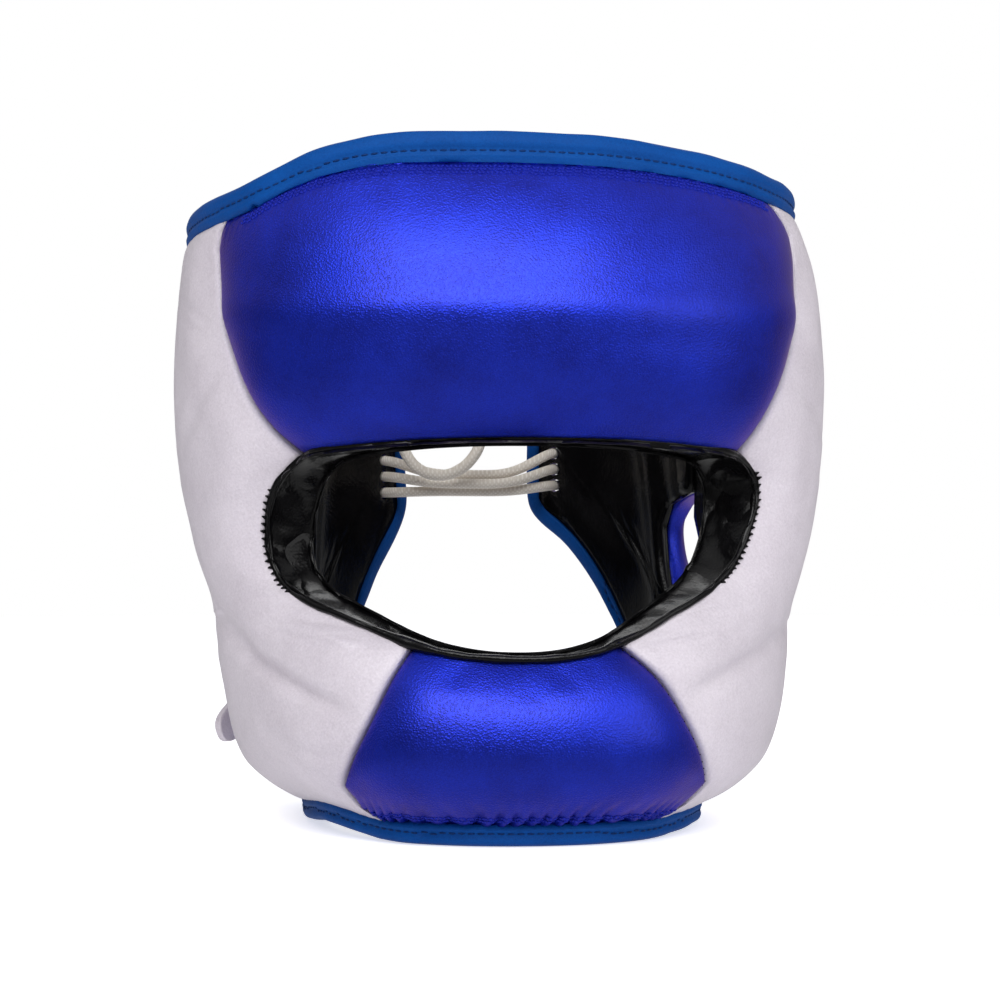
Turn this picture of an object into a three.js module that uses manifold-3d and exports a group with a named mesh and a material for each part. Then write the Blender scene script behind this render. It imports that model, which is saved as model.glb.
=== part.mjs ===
import * as THREE from "three";
import Module from "manifold-3d";
import { mergeVertices } from "three/addons/utils/BufferGeometryUtils.js";

// Boxing head guard with a padded bar across the face. It stands on its lower rim.
// Millimetres, +Z up. The face looks along -Y, and the origin is on the floor under the middle.
// A place on the padded wall is a turn round the head in degrees (0 at the front, positive towards +X),
// a height z, and a depth from 0 on the inside of the wall to 1 on its outside.

// Plan of the wall at each height: half widths, reaches to the front and the back, and a lean sideways.
const SECTIONS = [
  { z: 0, outerHalf: 97, outerFront: 118, innerHalf: 58, innerFront: 95, innerBack: 98, lean: 0 },
  { z: 28, outerHalf: 100, outerFront: 128, innerHalf: 68, innerFront: 95, innerBack: 104, lean: 0 },
  { z: 45, outerHalf: 101, outerFront: 126, innerHalf: 72, innerFront: 93, innerBack: 108, lean: 0 },
  { z: 65, outerHalf: 104, outerFront: 119, innerHalf: 76, innerFront: 90, innerBack: 111, lean: 0 },
  { z: 90, outerHalf: 109, outerFront: 112, innerHalf: 79, innerFront: 86, innerBack: 112, lean: 0 },
  { z: 125, outerHalf: 116.5, outerFront: 110, innerHalf: 80, innerFront: 82, innerBack: 112, lean: -0.5 },
  { z: 150, outerHalf: 119, outerFront: 115, innerHalf: 80, innerFront: 81, innerBack: 112, lean: -1 },
  { z: 178, outerHalf: 118, outerFront: 119, innerHalf: 80, innerFront: 81, innerBack: 111, lean: -1 },
  { z: 200, outerHalf: 116.5, outerFront: 113, innerHalf: 79, innerFront: 79, innerBack: 109, lean: -2 },
  { z: 220, outerHalf: 115, outerFront: 102, innerHalf: 78, innerFront: 76, innerBack: 106, lean: -4 },
  { z: 240, outerHalf: 111, outerFront: 88, innerHalf: 76, innerFront: 66, innerBack: 103, lean: -6 },
];
const BACK_THICKNESS = 16;
const PLAN_ROUNDNESS = 0.88;

// How the wall changes round the head: the depths of its inside and outside, and the depths between
// which it is sewn together along the upper and the lower rim.
const ROUND_THE_HEAD = [
  { turn: 0, inside: 0, outside: 1, topInner: 0.58, topOuter: 0.88, lowInner: 0.08, lowOuter: 0.4 },
  { turn: 85, inside: 0, outside: 1, topInner: 0.66, topOuter: 0.91, lowInner: 0.06, lowOuter: 0.32 },
  { turn: 108, inside: 0.04, outside: 0.9, topInner: 0.54, topOuter: 0.79, lowInner: 0.1, lowOuter: 0.37 },
  { turn: 130, inside: 0.15, outside: 0.87, topInner: 0.42, topOuter: 0.73, lowInner: 0.2, lowOuter: 0.54 },
  { turn: 160, inside: 0.06, outside: 0.98, topInner: 0.22, topOuter: 0.7, lowInner: 0.2, lowOuter: 0.68 },
];

// Heights of the padding's upper and lower edges, where the bindings start.
const UPPER_EDGE = [
  { turn: 0, left: 233, right: 233 },
  { turn: 16, left: 233, right: 232 },
  { turn: 28, left: 230.5, right: 230 },
  { turn: 38, left: 226, right: 228 },
  { turn: 48, left: 219, right: 225.5 },
  { turn: 60, left: 215, right: 222.5 },
  { turn: 80, left: 211, right: 220 },
  { turn: 108, left: 204, right: 211 },
  { turn: 140, left: 200, right: 203 },
  { turn: 168, left: 201, right: 201 },
];
const LOWER_EDGE = [
  { turn: 0, left: 7, right: 7 },
  { turn: 22, left: 7, right: 7 },
  { turn: 42, left: 9.5, right: 8.5 },
  { turn: 60, left: 12.5, right: 10 },
  { turn: 74, left: 11, right: 9.5 },
  { turn: 90, left: 8.3, right: 8.1 },
  { turn: 101, left: 8.5, right: 8.1 },
  { turn: 109, left: 11, right: 12 },
  { turn: 117, left: 20, right: 24 },
  { turn: 125, left: 32, right: 39 },
  { turn: 133, left: 46, right: 56 },
  { turn: 143, left: 69, right: 78 },
  { turn: 153, left: 95, right: 98 },
  { turn: 163, left: 115, right: 113 },
  { turn: 168, left: 118, right: 116 },
];
const REAR_EDGE_TURN = { left: 161, right: 166 };

// Seams and edges of the panels: turns from the middle to each side at each height. The soft wall
// isn't quite the same on both sides.
const FOREHEAD_SEAM = [
  { z: 132.5, left: 43, right: 46.5 },
  { z: 142, left: 48, right: 48.5 },
  { z: 156, left: 53.5, right: 53.5 },
  { z: 170, left: 58.5, right: 59.5 },
  { z: 188, left: 62.5, right: 63 },
  { z: 203, left: 63.5, right: 67.5 },
  { z: 211, left: 61.5, right: 67.5 },
  { z: 216, left: 58, right: 64.5 },
  { z: 223, left: 58, right: 57 },
];
const OPENING_EDGE = [
  { z: 67.7, left: 20.5, right: 17.5 },
  { z: 72, left: 28, right: 23 },
  { z: 77, left: 36, right: 28.5 },
  { z: 81.5, left: 44.5, right: 34.5 },
  { z: 86, left: 52, right: 40.5 },
  { z: 93, left: 56.5, right: 47 },
  { z: 102, left: 57, right: 51 },
  { z: 112, left: 55, right: 54 },
  { z: 121, left: 51.5, right: 55 },
  { z: 128, left: 47.5, right: 52 },
  { z: 132.5, left: 43, right: 46.5 },
];
const BAR_SEAM = [
  { z: 7, left: 36, right: 38 },
  { z: 12, left: 40, right: 42.5 },
  { z: 18, left: 41, right: 44 },
  { z: 25, left: 38, right: 41 },
  { z: 33, left: 34, right: 36.5 },
  { z: 45, left: 29, right: 31 },
  { z: 58, left: 24.7, right: 25 },
  { z: 67.7, left: 20.5, right: 17.5 },
];
const BROW_CORNER_Z = 132.5;
const BROW_ARCH = 5.5;
const BAR_CORNER_Z = 67.7;
const BAR_DIP = 5;

// Ear hole, cut half out of the cheek pad's rear edge and half out of the flap's front edge.
const EAR_SEAM_TURN = 108;
const EAR_NOTCH_IN_CHEEK = { z: 83, halfHeight: 24, turn: 7 };
const EAR_NOTCH_IN_FLAP = { z: 87, halfHeight: 30, turn: 19 };

// Rounding of the padding towards its edges: the length over which it falls, and how much.
const UPPER_ROLL = 34;
const LOWER_ROLL = 27;
const ROLL_POWER = 0.75;
const SEAM_FALL = { length: 13, outer: 0.12, inner: 0 };
const OPENING_FALL = { length: 24, outer: 0.26, inner: 0.08 };
const EAR_FALL = { length: 26, outer: 0.2, inner: 0.02 };
const EAR_HOLE_FALL = { length: 24, outer: 0.4, inner: 0.04 };
const REAR_FALL = { length: 22, outer: 0.28, inner: 0.18 };
const MM_PER_DEGREE = 2;

// Soft crease that runs across each cheek from the jaw towards the face bar.
const CHEEK_CREASE = [
  { turn: 28, z: 40 },
  { turn: 45, z: 54 },
  { turn: 62, z: 68 },
  { turn: 80, z: 80 },
  { turn: 96, z: 84 },
];
const CREASE_HALF_WIDTH = 8;
const CREASE_DEPTH = 0.07;
const CREASE_START = 40;

const LINING = 2;
const GAP = 0.4;
const BINDING_GAP = 0.5;
const SEAM_GAP_TURN = 0.2;
const OPENING_GAP = 0.7;
const OPENING_WALL = 2.4;
const OPENING_LIP = 0.9;
const TOP_BINDING_HEIGHT = 10;
const LOWER_BINDING_HEIGHT = 7;
const BINDING_PROUD = 0.8;
const BINDING_JOINT = 1.2;
const LEAST_MITRE_COSINE = 0.6;

// Rows of points across and up each panel.
const FOREHEAD_COLUMNS = 14;
const BAR_COLUMNS = 8;
const CHEEK_COLUMNS = 7;
const FLAP_COLUMNS = 7;
const FLAP_SHARES = [0, 0.12, 0.23, 0.265, 0.32, 0.39, 0.46, 0.51, 0.545, 0.68, 0.84, 1];
const OPENING_SAMPLES = 60;
const FOREHEAD_SHARES = [0, 0.08, 0.2, 0.34, 0.48, 0.62, 0.76, 0.87, 0.95, 1];
const BAR_LEVELS = [7, 12, 20, 30, 42, 53, 61, 67.7];
const OPENING_LEVELS = [67.7, 72, 77, 82, 88, 96, 106, 116, 125, 132.5];

// Lace: a round cord that zigzags across the rear gap through holes near the flaps' rear edges, one row
// of the lacing per line. The loop is a row that was left slack, so it hangs into the head's hollow.
const LACE_DIAMETER = 4.4;
const LACE_SIDES = 8;
const LACE_HOLE_CLEARANCE = 0.4;
const LACE_HOLE_SIDES = 8;
const LACE_HOLE_INSET_TURN = 4.4;
const LACE_ROWS = [
  { left: 120, middle: 120.5, right: 123, sag: 2.5 },
  { left: 126.5, middle: 123.6, right: 129.5, sag: 6.5 },
  { left: 133, middle: 127.2, right: 136, sag: 2.5 },
  { left: 142, middle: 143, right: 144, sag: 4 },
];
const LACE_LOOP_ROW = { left: 154, right: 157 };
const LACE_TOP_ROW = { left: 172, middle: 173, right: 174, sag: 4 };
const LACE_LOOP_ROUTE = [
  [-30.5, 94, 150],
  [-32, 91, 142.5],
  [-30, 88.5, 134.5],
  [-24.5, 87.5, 128.8],
  [-17, 87, 126.8],
  [-9.5, 87.5, 129],
  [-3.5, 88.5, 134.5],
  [0.5, 91, 142.5],
  [5, 94, 150],
  [13, 98.5, 154.5],
];
const LACE_STEP = 8.4;
const LACE_DRAW = 4;
const KNOT_RADIUS = 3.6;

// Strap end behind the left cheek, one row for each station from its sewn end to its tip.
const STRAP_TAB = [
  { turn: 128, z: 58, standOff: 0.5, width: 14 },
  { turn: 121, z: 49, standOff: 0.8, width: 14 },
  { turn: 114, z: 39.5, standOff: 2.6, width: 14 },
  { turn: 109, z: 34, standOff: 5.5, width: 14 },
  { turn: 106, z: 32, standOff: 8.2, width: 12 },
  { turn: 104.5, z: 31, standOff: 9.3, width: 6 },
];
const STRAP_THICKNESS = 2.6;

const COLOURS = {
  metallicBlue: { color: 0x2a2fd0, roughness: 0.35, metalness: 0.45 },
  whiteLeather: { color: 0xd6d2dc, roughness: 0.55, metalness: 0 },
  blackLeather: { color: 0x121114, roughness: 0.35, metalness: 0 },
  bindingBlue: { color: 0x145aa8, roughness: 0.6, metalness: 0 },
  laceWhite: { color: 0xd8d4cc, roughness: 0.9, metalness: 0 },
};

// Reads a column of a table between its rows, on a smooth curve that never overshoots a row.
function read(table, place, column, at) {
  const last = table.length - 1;
  if (at <= table[0][place]) return table[0][column];
  if (at >= table[last][place]) return table[last][column];
  let row = 0;
  while (table[row + 1][place] < at) row += 1;
  const step = (i) => table[i + 1][place] - table[i][place];
  const slope = (i) => (table[i + 1][column] - table[i][column]) / step(i);
  const slopeAtRow = (i) => {
    if (i === 0 || i === last) return slope(Math.min(i, last - 1));
    const before = slope(i - 1);
    const after = slope(i);
    return before * after <= 0 ? 0 : (2 * before * after) / (before + after);
  };
  const h = step(row);
  const s = (at - table[row][place]) / h;
  const rise = s * s * (3 - 2 * s);
  const start = s * (1 - s) * (1 - s) * h * slopeAtRow(row);
  const end = s * s * (1 - s) * h * slopeAtRow(row + 1);
  return table[row][column] * (1 - rise) + table[row + 1][column] * rise + start - end;
}

const lerp = THREE.MathUtils.lerp;
const sideName = (turn) => (turn < 0 ? "left" : "right");
const upperEdge = (turn) => read(UPPER_EDGE, "turn", sideName(turn), Math.abs(turn));
const lowerEdge = (turn) => read(LOWER_EDGE, "turn", sideName(turn), Math.abs(turn));
const roundTheHead = (column, turn) => read(ROUND_THE_HEAD, "turn", column, Math.abs(turn));
const signedPower = (value) => Math.sign(value) * Math.abs(value) ** PLAN_ROUNDNESS;

function wallPoint(turn, z, depth) {
  const angle = THREE.MathUtils.degToRad(turn);
  const across = signedPower(Math.sin(angle));
  const forward = signedPower(Math.cos(angle));
  const size = (column) => read(SECTIONS, "z", column, z);
  const innerReach = forward > 0 ? size("innerFront") : size("innerBack");
  const outerReach = forward > 0 ? size("outerFront") : size("innerBack") + BACK_THICKNESS;
  const half = lerp(size("innerHalf"), size("outerHalf"), depth);
  const reach = lerp(innerReach, outerReach, depth);
  return new THREE.Vector3(size("lean") + half * across, -reach * forward, z);
}

const wallThickness = (turn, z) => wallPoint(turn, z, 0).distanceTo(wallPoint(turn, z, 1));

// Rises from 0 at an edge to 1 at the end of its roll, like the round edge of a stuffed panel.
function roll(distance, length) {
  const share = THREE.MathUtils.clamp(distance / length, 0, 1);
  return (1 - (1 - share) ** 2) ** ROLL_POWER;
}

// Inner and outer depth of the padding at a place, with its falls towards the edges near it.
function paddingAt(turn, z, falls) {
  const upper = 1 - roll(upperEdge(turn) - z, UPPER_ROLL);
  const lower = 1 - roll(z - lowerEdge(turn), LOWER_ROLL);
  const inside = roundTheHead("inside", turn);
  const outside = roundTheHead("outside", turn);
  let inner = inside;
  inner += upper * (roundTheHead("topInner", turn) - inside);
  inner += lower * (roundTheHead("lowInner", turn) - inside);
  let outer = outside;
  outer -= upper * (outside - roundTheHead("topOuter", turn));
  outer -= lower * (outside - roundTheHead("lowOuter", turn));
  for (const { distance, fall } of falls) {
    const share = (1 - roll(distance, fall.length)) * (1 - upper) * (1 - lower);
    outer -= share * fall.outer;
    inner += share * fall.inner;
  }
  return { turn, z, inner, outer };
}

const notch = (shape, z) => {
  const share = (z - shape.z) / shape.halfHeight;
  return Math.abs(share) < 1 ? shape.turn * Math.sqrt(1 - share * share) : 0;
};
const cheekRearEdge = (z) => EAR_SEAM_TURN - notch(EAR_NOTCH_IN_CHEEK, z);
const flapFrontEdge = (z) => EAR_SEAM_TURN + notch(EAR_NOTCH_IN_FLAP, z);

// Front edge of a cheek: the bar's seam, the side of the face opening and the forehead's seam.
function cheekFrontEdge(z, side) {
  if (z <= BAR_CORNER_Z) return read(BAR_SEAM, "z", sideName(side), z);
  if (z <= BROW_CORNER_Z) return read(OPENING_EDGE, "z", sideName(side), z);
  return read(FOREHEAD_SEAM, "z", sideName(side), z);
}

const seamTopTurn = (side) => FOREHEAD_SEAM.at(-1)[sideName(side)];
const foreheadSeamZ = (share, side) => lerp(BROW_CORNER_Z, upperEdge(side * seamTopTurn(side)), share);
const browLine = (across) => BROW_CORNER_Z + BROW_ARCH * (1 - across * across);
const barTopLine = (across) => BAR_CORNER_Z - BAR_DIP * (1 - across * across);
const steps = (count, from, to) => Array.from({ length: count + 1 }, (_, i) => lerp(from, to, i / count));

// Each panel is a grid of places: rows from the bottom up, and columns across.
function foreheadGrid() {
  return FOREHEAD_SHARES.map((share) =>
    steps(FOREHEAD_COLUMNS, -1, 1).map((across) => {
      const side = across < 0 ? -1 : 1;
      const seam = cheekFrontEdge(foreheadSeamZ(share, side), side) - SEAM_GAP_TURN;
      const z = lerp(browLine(across), upperEdge(across * seamTopTurn(side)), share);
      const fromSeam = (1 - Math.abs(across)) * seam * MM_PER_DEGREE;
      return paddingAt(across * seam, z, [
        { distance: fromSeam, fall: SEAM_FALL },
        { distance: z - browLine(across), fall: OPENING_FALL },
      ]);
    }),
  );
}

function barGrid() {
  return BAR_LEVELS.map((level) => {
    const share = (level - BAR_LEVELS[0]) / (BAR_CORNER_Z - BAR_LEVELS[0]);
    return steps(BAR_COLUMNS, -1, 1).map((across) => {
      const side = across < 0 ? -1 : 1;
      const seam = cheekFrontEdge(level, side) - SEAM_GAP_TURN;
      const z = lerp(BAR_LEVELS[0], barTopLine(across), share);
      const fromSeam = (1 - Math.abs(across)) * seam * MM_PER_DEGREE;
      return paddingAt(across * seam, z, [
        { distance: fromSeam, fall: SEAM_FALL },
        { distance: barTopLine(across) - z, fall: OPENING_FALL },
      ]);
    });
  });
}

// The shortest way from a place to the side of the face opening, in millimetres.
function distanceToOpening(turn, z, side) {
  const away = steps(OPENING_SAMPLES, BAR_CORNER_Z, BROW_CORNER_Z).map((height) =>
    Math.hypot((turn - read(OPENING_EDGE, "z", sideName(side), height)) * MM_PER_DEGREE, z - height),
  );
  return Math.min(...away);
}

function cheekGrid(side) {
  const levels = [
    ...BAR_LEVELS.slice(0, -1),
    ...OPENING_LEVELS,
    ...FOREHEAD_SHARES.slice(1).map((share) => foreheadSeamZ(share, side)),
  ];
  return levels.map((level) => {
    const front = cheekFrontEdge(level, side);
    const low = lowerEdge(side * front);
    const share = (level - low) / (upperEdge(side * front) - low);
    const heightAt = (turn) => lerp(lowerEdge(side * turn), upperEdge(side * turn), share);
    const rear = cheekRearEdge(heightAt(EAR_SEAM_TURN));
    return steps(CHEEK_COLUMNS, 0, 1).map((across) => {
      const turn = lerp(front + SEAM_GAP_TURN, rear - SEAM_GAP_TURN, across);
      const z = heightAt(turn);
      const fromFront = (turn - front) * MM_PER_DEGREE;
      const cell = paddingAt(side * turn, z, [
        { distance: distanceToOpening(turn, z, side), fall: OPENING_FALL },
        { distance: fromFront, fall: SEAM_FALL },
        { distance: (rear - turn) * MM_PER_DEGREE, fall: EAR_FALL },
      ]);
      const fromCrease = (z - read(CHEEK_CREASE, "turn", "z", turn)) / CREASE_HALF_WIDTH;
      cell.outer -= CREASE_DEPTH * Math.exp(-fromCrease * fromCrease) * roll(fromFront, CREASE_START);
      return cell;
    });
  });
}

function flapGrid(side) {
  const rearEdge = REAR_EDGE_TURN[sideName(side)];
  return FLAP_SHARES.map((share) => {
    const heightAt = (turn) => lerp(lowerEdge(side * turn), upperEdge(side * turn), share);
    const front = flapFrontEdge(heightAt(EAR_SEAM_TURN));
    const frontFall = front > EAR_SEAM_TURN ? EAR_HOLE_FALL : SEAM_FALL;
    return steps(FLAP_COLUMNS, 0, 1).map((across) => {
      const turn = lerp(front + SEAM_GAP_TURN, rearEdge, across);
      return paddingAt(side * turn, heightAt(turn), [
        { distance: (turn - front) * MM_PER_DEGREE, fall: frontFall },
        { distance: (rearEdge - turn) * MM_PER_DEGREE, fall: REAR_FALL },
      ]);
    });
  });
}

// Turns a closed mesh so that its faces point out, whichever way it was wound.
function facingOut(points, faces) {
  let volume = 0;
  for (const [a, b, c] of faces) {
    volume += points[a].dot(new THREE.Vector3().crossVectors(points[b], points[c]));
  }
  const index = faces.flatMap(([a, b, c]) => (volume < 0 ? [a, c, b] : [a, b, c]));
  const geometry = new THREE.BufferGeometry().setFromPoints(points);
  geometry.setIndex(index);
  geometry.computeVertexNormals();
  return geometry;
}

// A closed skin between an outer and an inner grid of points.
function shell(outerRows, innerRows) {
  const rows = outerRows.length;
  const columns = outerRows[0].length;
  const points = [...outerRows.flat(), ...innerRows.flat()];
  const outer = (r, c) => r * columns + c;
  const inner = (r, c) => rows * columns + outer(r, c);
  const faces = [];
  const quad = (a, b, c, d) => faces.push([a, b, c], [a, c, d]);
  for (let r = 0; r < rows - 1; r += 1) {
    for (let c = 0; c < columns - 1; c += 1) {
      quad(outer(r, c), outer(r, c + 1), outer(r + 1, c + 1), outer(r + 1, c));
      faces.push([inner(r, c), inner(r + 1, c + 1), inner(r, c + 1)]);
      faces.push([inner(r, c), inner(r + 1, c), inner(r + 1, c + 1)]);
    }
    quad(outer(r, 0), outer(r + 1, 0), inner(r + 1, 0), inner(r, 0));
    const end = columns - 1;
    quad(inner(r + 1, end), outer(r + 1, end), outer(r, end), inner(r, end));
  }
  for (let c = 0; c < columns - 1; c += 1) {
    const top = rows - 1;
    quad(outer(0, c + 1), outer(0, c), inner(0, c), inner(0, c + 1));
    quad(outer(top, c), outer(top, c + 1), inner(top, c + 1), inner(top, c));
  }
  return facingOut(points, faces);
}

const gridPoints = (grid, depthOf) =>
  grid.map((row) => row.map((cell) => wallPoint(cell.turn, cell.z, depthOf(cell))));
const inward = (cell, distance) => cell.inner + distance / wallThickness(cell.turn, cell.z);
const padGeometry = (grid) =>
  shell(gridPoints(grid, (cell) => cell.outer), gridPoints(grid, (cell) => inward(cell, LINING + GAP)));
const liningGeometry = (grid) =>
  shell(gridPoints(grid, (cell) => inward(cell, LINING)), gridPoints(grid, (cell) => cell.inner));

// A closed skin through rings of points, with flat ends, or joined to itself when it is a loop.
function loft(rings, isLoop) {
  const count = rings.length;
  const sides = rings[0].length;
  const at = (ring, i) => (ring % count) * sides + (i % sides);
  const faces = [];
  for (let ring = 0; ring < (isLoop ? count : count - 1); ring += 1) {
    for (let i = 0; i < sides; i += 1) {
      faces.push([at(ring, i), at(ring, i + 1), at(ring + 1, i + 1)]);
      faces.push([at(ring, i), at(ring + 1, i + 1), at(ring + 1, i)]);
    }
  }
  for (let i = 1; i < sides - 1 && !isLoop; i += 1) {
    faces.push([at(0, 0), at(0, i + 1), at(0, i)]);
    faces.push([at(count - 1, 0), at(count - 1, i), at(count - 1, i + 1)]);
  }
  return facingOut(rings.flat(), faces);
}

// Along an edge of the panels: the wall's inside, its outside, and the way out from the edge.
function edgeFrames(cells, isLoop) {
  const inside = cells.map((cell) => wallPoint(cell.turn, cell.z, cell.inner));
  const outside = cells.map((cell) => wallPoint(cell.turn, cell.z, cell.outer));
  const middle = inside.map((point, i) => point.clone().lerp(outside[i], 0.5));
  const count = cells.length;
  return middle.map((point, i) => {
    const next = isLoop ? (i + 1) % count : Math.min(i + 1, count - 1);
    const previous = isLoop ? (i + count - 1) % count : Math.max(i - 1, 0);
    const ahead = middle[next].clone().sub(point).normalize();
    const behind = point.clone().sub(middle[previous]).normalize();
    const across = outside[i].clone().sub(inside[i]).normalize();
    const tangent = ahead.clone().add(behind).projectOnPlane(across).normalize();
    const away = new THREE.Vector3().crossVectors(across, tangent).normalize();
    const isEnd = !isLoop && (i === 0 || i === count - 1);
    const bend = tangent.dot(ahead.clone().projectOnPlane(across).normalize());
    const mitre = isEnd ? 1 : 1 / Math.max(LEAST_MITRE_COSINE, bend);
    return { inside: inside[i], outside: outside[i], middle: point, across, away, mitre };
  });
}

// Leather tape folded over an edge: as thick as the edge and a little proud of it.
function bindingGeometry(cells, height) {
  const rings = edgeFrames(cells, false).map((frame) => {
    const half = frame.inside.distanceTo(frame.outside) / 2 + BINDING_PROUD;
    const profile = [
      [-half, BINDING_GAP],
      [half, BINDING_GAP],
      [half, height * 0.7],
      [half * 0.6, height],
      [-half * 0.6, height],
      [-half, height * 0.7],
    ];
    return profile.map(([thickness, out]) =>
      frame.middle
        .clone()
        .addScaledVector(frame.across, thickness)
        .addScaledVector(frame.away, out * frame.mitre),
    );
  });
  return loft(rings, false);
}

// The face opening's wall, from the lining out to a lip that stands a little proud of the pads.
function openingWallGeometry(cells) {
  const rings = edgeFrames(cells, true).map((frame) => {
    const depth = frame.outside.distanceTo(frame.inside);
    const profile = [
      [0, OPENING_GAP],
      [0, OPENING_GAP + OPENING_WALL],
      [depth - OPENING_LIP, OPENING_GAP + OPENING_WALL],
      [depth + OPENING_LIP, OPENING_GAP + OPENING_WALL / 2],
      [depth, OPENING_GAP],
    ];
    return profile.map(([outwards, into]) =>
      frame.inside
        .clone()
        .addScaledVector(frame.across, outwards)
        .addScaledVector(frame.away, into * frame.mitre),
    );
  });
  return loft(rings, true);
}

const column = (grid, index) => grid.map((row) => row.at(index));
const grids = {
  forehead: foreheadGrid(),
  bar: barGrid(),
  cheekLeft: cheekGrid(-1),
  cheekRight: cheekGrid(1),
  flapLeft: flapGrid(-1),
  flapRight: flapGrid(1),
};

// The opening's loop: along the brow to the left, down that side, along the bar and up the right side.
const openingStart = BAR_LEVELS.length - 1;
const openingSide = (grid) => column(grid, 0).slice(openingStart, openingStart + OPENING_LEVELS.length);
const openingLoop = [
  ...grids.forehead[0].slice(1, -1).reverse(),
  ...openingSide(grids.cheekLeft).reverse(),
  ...grids.bar.at(-1).slice(1, -1),
  ...openingSide(grids.cheekRight),
];

// The rims: each binding runs over the panels' edges in turn, one cell for each of their columns. The
// upper one also covers the ends of the lower one at the rear edges.
const pastRearEdge = (cell) => ({
  ...cell,
  turn: cell.turn + (Math.sign(cell.turn) * LOWER_BINDING_HEIGHT) / MM_PER_DEGREE,
});
const rearEdge = (grid) => {
  const cells = column(grid, -1);
  const top = cells.pop();
  return [...cells, { ...top, z: top.z - BINDING_JOINT }];
};
const upperRim = [
  pastRearEdge(grids.flapLeft.at(-1).at(-1)),
  ...grids.flapLeft.at(-1).slice().reverse(),
  ...grids.cheekLeft.at(-1).slice(1).reverse(),
  ...grids.forehead.at(-1),
  ...grids.cheekRight.at(-1).slice(1),
  ...grids.flapRight.at(-1),
  pastRearEdge(grids.flapRight.at(-1).at(-1)),
];
const lowerRim = [
  ...rearEdge(grids.flapRight).reverse(),
  ...grids.flapRight[0].slice(0, -1).reverse(),
  ...grids.cheekRight[0].slice(1).reverse(),
  ...grids.bar[0].slice().reverse(),
  ...grids.cheekLeft[0].slice(1),
  ...grids.flapLeft[0].slice(0, -1),
  ...rearEdge(grids.flapLeft),
];

// Solids that can be cut and joined.
const wasm = await Module();
wasm.setup();

function solidOf(geometry) {
  const bare = geometry.clone();
  bare.deleteAttribute("normal");
  bare.deleteAttribute("uv");
  const merged = mergeVertices(bare);
  const vertProperties = merged.getAttribute("position").array;
  return new wasm.Manifold(new wasm.Mesh({ numProp: 3, vertProperties, triVerts: merged.index.array }));
}

function geometryOf(solid) {
  const mesh = solid.getMesh();
  const geometry = new THREE.BufferGeometry();
  geometry.setAttribute("position", new THREE.BufferAttribute(mesh.vertProperties, 3));
  geometry.setIndex(new THREE.BufferAttribute(mesh.triVerts, 1));
  geometry.computeVertexNormals();
  return geometry;
}

// A lace hole: its mouth on the inside of the flap, its way out through the wall, and the wall's thickness.
function laceHole(side, z) {
  const rearEdge = REAR_EDGE_TURN[sideName(side)];
  const turn = rearEdge - LACE_HOLE_INSET_TURN;
  const cell = paddingAt(side * turn, z, [{ distance: LACE_HOLE_INSET_TURN * MM_PER_DEGREE, fall: REAR_FALL }]);
  const mouth = wallPoint(cell.turn, z, cell.inner);
  const along = wallPoint(cell.turn + side, z, cell.inner).sub(mouth);
  const out = new THREE.Vector3(along.y * side, -along.x * side, 0).normalize();
  const thickness = wallPoint(cell.turn, z, cell.outer).sub(mouth).dot(out);
  const at = (distance) => mouth.clone().addScaledVector(out, distance);
  return { at, out, thickness };
}

function holeGeometry(hole) {
  const radius = (LACE_DIAMETER / 2 + LACE_HOLE_CLEARANCE) / Math.cos(Math.PI / LACE_HOLE_SIDES);
  const reach = hole.thickness * 2;
  const drill = new THREE.CylinderGeometry(radius, radius, reach, LACE_HOLE_SIDES);
  const upright = new THREE.Vector3(0, 1, 0);
  drill.applyQuaternion(new THREE.Quaternion().setFromUnitVectors(upright, hole.out));
  const middle = hole.at(hole.thickness / 2);
  return drill.translate(middle.x, middle.y, middle.z);
}

// Points of the lace through a hole, from the hollow outwards.
const throughHole = (hole) => [
  hole.at(-LACE_DIAMETER),
  hole.at(0),
  hole.at(hole.thickness / 2),
  hole.at(hole.thickness),
  hole.at(hole.thickness + LACE_DIAMETER * 0.6),
];

// Points of one row of the lacing, across the hollow side of the gap. Its slack sags inwards, and the rows
// lie together between their holes.
function rowPoints(left, right, { middle, sag }) {
  const from = left.at(-LACE_DIAMETER);
  const to = right.at(-LACE_DIAMETER);
  const crossing = [0.25, 0.5, 0.75].map((share) => {
    const point = from.clone().lerp(to, share);
    const slack = 1 - Math.abs(2 * share - 1) ** LACE_DRAW;
    point.z = lerp(point.z, middle, slack);
    point.y -= sag * slack;
    return point;
  });
  return [...throughHole(left).reverse(), ...crossing, ...throughHole(right)];
}

function laceGeometry(points) {
  const route = new THREE.CatmullRomCurve3(points);
  const corners = steps(LACE_SIDES - 1, 0, (2 * Math.PI * (LACE_SIDES - 1)) / LACE_SIDES);
  const radius = LACE_DIAMETER / 2;
  const section = new THREE.Shape(
    corners.map((angle) => new THREE.Vector2(radius * Math.cos(angle), radius * Math.sin(angle))),
  );
  const count = Math.round(route.getLength() / LACE_STEP);
  return new THREE.ExtrudeGeometry(section, { steps: count, extrudePath: route, bevelEnabled: false });
}

const withKnot = (lace, place) =>
  geometryOf(solidOf(lace).add(solidOf(new THREE.IcosahedronGeometry(KNOT_RADIUS, 1).translate(...place))));

const holesOf = (row) => ({ left: laceHole(-1, row.left), right: laceHole(1, row.right) });
const lacedRows = LACE_ROWS.map(holesOf);
const loopHoles = holesOf(LACE_LOOP_ROW);
const topHoles = holesOf(LACE_TOP_ROW);
const allHoles = [...lacedRows, loopHoles, topHoles];
const flapWithHoles = (geometry, name) =>
  geometryOf(
    allHoles.reduce((solid, holes) => solid.subtract(solidOf(holeGeometry(holes[name]))), solidOf(geometry)),
  );

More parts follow.
